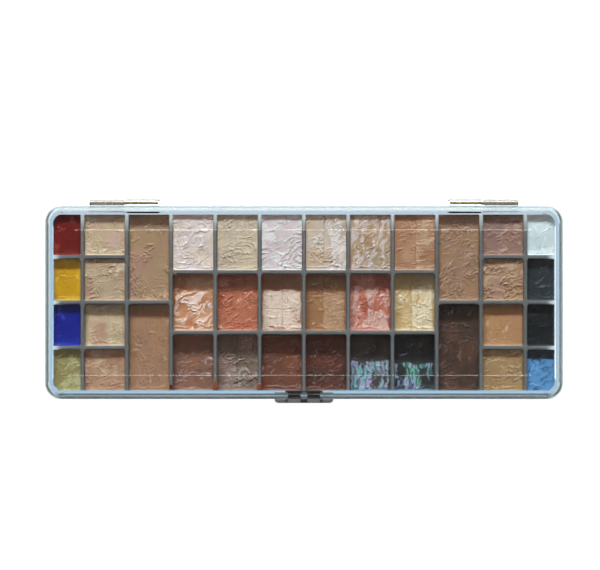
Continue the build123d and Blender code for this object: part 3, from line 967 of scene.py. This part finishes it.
def makeSmears():
    draws = np.random.default_rng(77)
    top = trayForm["dividerTop"]
    parts = []
    sizes = zip(smearForm["columns"], smearForm["middle"], smearForm["length"], smearForm["width"])
    for column, middle, length, width in sizes:
        deselectAll()
        bpy.ops.mesh.primitive_circle_add(vertices=smearForm["points"], radius=mm, fill_type="NGON",
                                          location=(0, 0, (top - smearForm["sink"]) * mm))
        part = bpy.context.object
        part.name = "paint_smears"
        bpy.ops.object.transform_apply(location=True, rotation=True, scale=True)
        reach = 1 + 0.16 * np.sin(np.arange(smearForm["points"]) * 2.1 + column) + draws.uniform(
            -0.08, 0.08, smearForm["points"])
        for vertex, stretch in zip(part.data.vertices, reach):
            vertex.co.x = column * mm + vertex.co.x * width * stretch
            vertex.co.y = middle * mm + vertex.co.y * length / 2 * stretch
        pick(part, "FACE", lambda m, n, area: True)
        pushUp(smearForm["sink"] + smearForm["height"] * smearForm["rises"][0])
        for inset, rise in zip(smearForm["insets"], smearForm["rises"][1:]):
            bpy.ops.mesh.inset(thickness=inset * mm, depth=smearForm["height"] * rise * mm)
        bpy.ops.mesh.select_all(action="SELECT")
        bpy.ops.mesh.normals_make_consistent(inside=False)
        done()
        smooth(part, 70)
        parts.append(part)
    deselectAll()
    for part in parts:
        part.select_set(True)
    bpy.context.view_layer.objects.active = parts[0]
    bpy.ops.object.join()
    smears = parts[0]
    smears.data.materials.append(makePaintMaterial("wiped paint", {**usualPaint, **smearLook}))
    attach(smears, "tray")


makeSmears()
print("smears wiped on")


# floor, light and camera

# lengths in metres, glowInset and glowFade in mm from the box's edge inwards; the colours are the room's,
# the skyline just over the floor, and ring a pale band behind the box, as heights from 0 to 1
studio = dict(cameraHeight=0.56, fieldWidth=0.2445, aim=(-0.0016, 0.0071), lampDistance=1.6, lampShift=-0.15,
              floorSize=3.0, floorDrop=0.0002, floorGlow=0.95, floorColour=(0.92, 0.92, 0.92),
              glowInset=dict(side=5, rear=10, front=1.4), glowFade=dict(side=2, rear=7, front=1),
              horizon=(0.12, 0.10, 0.075), zenith=(0.022, 0.013, 0.008), rearGlow=(0.6, 0.7, 0.8),
              skyline=(0.42, 0.62, 0.80), skylineTop=0.13, skylineFade=0.05,
              ring=(0.40, 0.42, 0.45), ringHeight=0.43, ringHalf=0.09, ringFade=0.02)

# the window lights the paint from low behind, and the softboxes only make the highlights
# side is 1 behind the box and -1 in front of it, height in degrees, size in metres, power in watts
lamps = {
    "rear window": dict(side=1, height=29, size=(1.1, 0.17), power=46.0, shines=True),
    "rear softbox": dict(side=1, height=65, size=(1.1, 0.08), power=2.4, shines=False),
    "front softbox": dict(side=-1, height=63.7, size=(1.1, 0.05), power=1.2, shines=False),
}


# the floor glows like a light table round the box; the glow reaches in under the box's edge, further at the
# sides and rear than at the front, as painted light seen through the clear rim, and is left out under the
# wells as painted shade
def makeFloor():
    deselectAll()
    bpy.ops.mesh.primitive_plane_add(size=studio["floorSize"], location=(0, 0, -studio["floorDrop"]))
    floor = bpy.context.object
    floor.name = "floor"
    material, tree, shader = newMaterial("pale floor")
    shader.inputs["Base Color"].default_value = (*studio["floorColour"], 1)
    shader.inputs["Roughness"].default_value = 0.8
    shader.inputs["Emission Color"].default_value = (1, 1, 1, 1)
    coords = addNode(tree, "ShaderNodeTexCoord")
    axes = addNode(tree, "ShaderNodeSeparateXYZ")
    tree.links.new(coords.outputs["Object"], axes.inputs["Vector"])
    fade = {name: width * mm for name, width in studio["glowFade"].items()}
    side, rear, front = ((half - studio["glowInset"][name]) * mm for name, half in (
        ("side", halfLength), ("rear", halfWidth), ("front", halfWidth)))
    endways = calculate(tree, "ABSOLUTE", axes.outputs["X"], 0.0)
    endways = remap(tree, endways, side, side + fade["side"], 0.0, 1.0)
    behind = remap(tree, axes.outputs["Y"], rear, rear + fade["rear"], 0.0, 1.0)
    before = remap(tree, axes.outputs["Y"], -front, -front - fade["front"], 0.0, 1.0)
    glow = calculate(tree, "MAXIMUM", endways, calculate(tree, "MAXIMUM", behind, before))
    tree.links.new(calculate(tree, "MULTIPLY", glow, studio["floorGlow"]), shader.inputs["Emission Strength"])
    floor.data.materials.append(material)


def addLamp(name, side, height, size, power, shines):
    lift = math.radians(height)
    away = studio["lampDistance"]
    place = Vector((studio["lampShift"], side * away * math.cos(lift), away * math.sin(lift)))
    lamp = bpy.data.lights.new(name, "AREA")
    lamp.shape = "RECTANGLE"
    lamp.size, lamp.size_y = size
    lamp.energy = power
    holder = bpy.data.objects.new(name, lamp)
    bpy.context.scene.collection.objects.link(holder)
    holder.location = place
    holder.rotation_euler = Vector((0, place.y, place.z)).to_track_quat("Z", "Y").to_euler()
    holder.visible_diffuse = shines
    holder.visible_glossy = not shines
    holder.visible_transmission = not shines


def makeLights():
    for name, lamp in lamps.items():
        addLamp(name, **lamp)
    world = bpy.data.worlds.new("studio room")
    bpy.context.scene.world = world
    world.use_nodes = True
    tree = world.node_tree
    coords = addNode(tree, "ShaderNodeTexCoord")
    axes = addNode(tree, "ShaderNodeSeparateXYZ")
    tree.links.new(coords.outputs["Generated"], axes.inputs["Vector"])
    room = blendColours(tree, remap(tree, axes.outputs["Z"], 0.0, 1.0, 0.0, 1.0), studio["horizon"],
                        studio["zenith"])
    skylineTop = studio["skylineTop"]
    low = remap(tree, axes.outputs["Z"], skylineTop, skylineTop + studio["skylineFade"], 1.0, 0.0)
    room = blendColours(tree, low, room, studio["skyline"])
    rear = calculate(tree, "POWER", remap(tree, axes.outputs["Y"], 0.0, 1.0, 0.0, 1.0), 3.0)
    room = blendColours(tree, rear, room, studio["rearGlow"])
    overRing = calculate(tree, "SUBTRACT", axes.outputs["Z"], studio["ringHeight"])
    offRing = calculate(tree, "ABSOLUTE", overRing, 0.0)
    ringHalf = studio["ringHalf"]
    onRing = remap(tree, offRing, ringHalf, ringHalf + studio["ringFade"], 1.0, 0.0)
    onRing = calculate(tree, "MULTIPLY", onRing, remap(tree, axes.outputs["Y"], -0.2, 0.3, 0.0, 1.0))
    room = blendColours(tree, onRing, room, studio["ring"])
    tree.links.new(room, tree.nodes["Background"].inputs["Color"])
    bpy.context.scene.view_settings.view_transform = "Standard"


def makeCamera():
    lens = bpy.data.cameras.new("camera")
    lens.lens = lens.sensor_width * studio["cameraHeight"] / studio["fieldWidth"]
    lens.clip_end = 10
    holder = bpy.data.objects.new("camera", lens)
    bpy.context.scene.collection.objects.link(holder)
    holder.location = (*studio["aim"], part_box("lid")[0][2] + studio["cameraHeight"])
    bpy.context.scene.camera = holder


makeFloor()
makeLights()
makeCamera()
print("floor, lamps and camera placed")
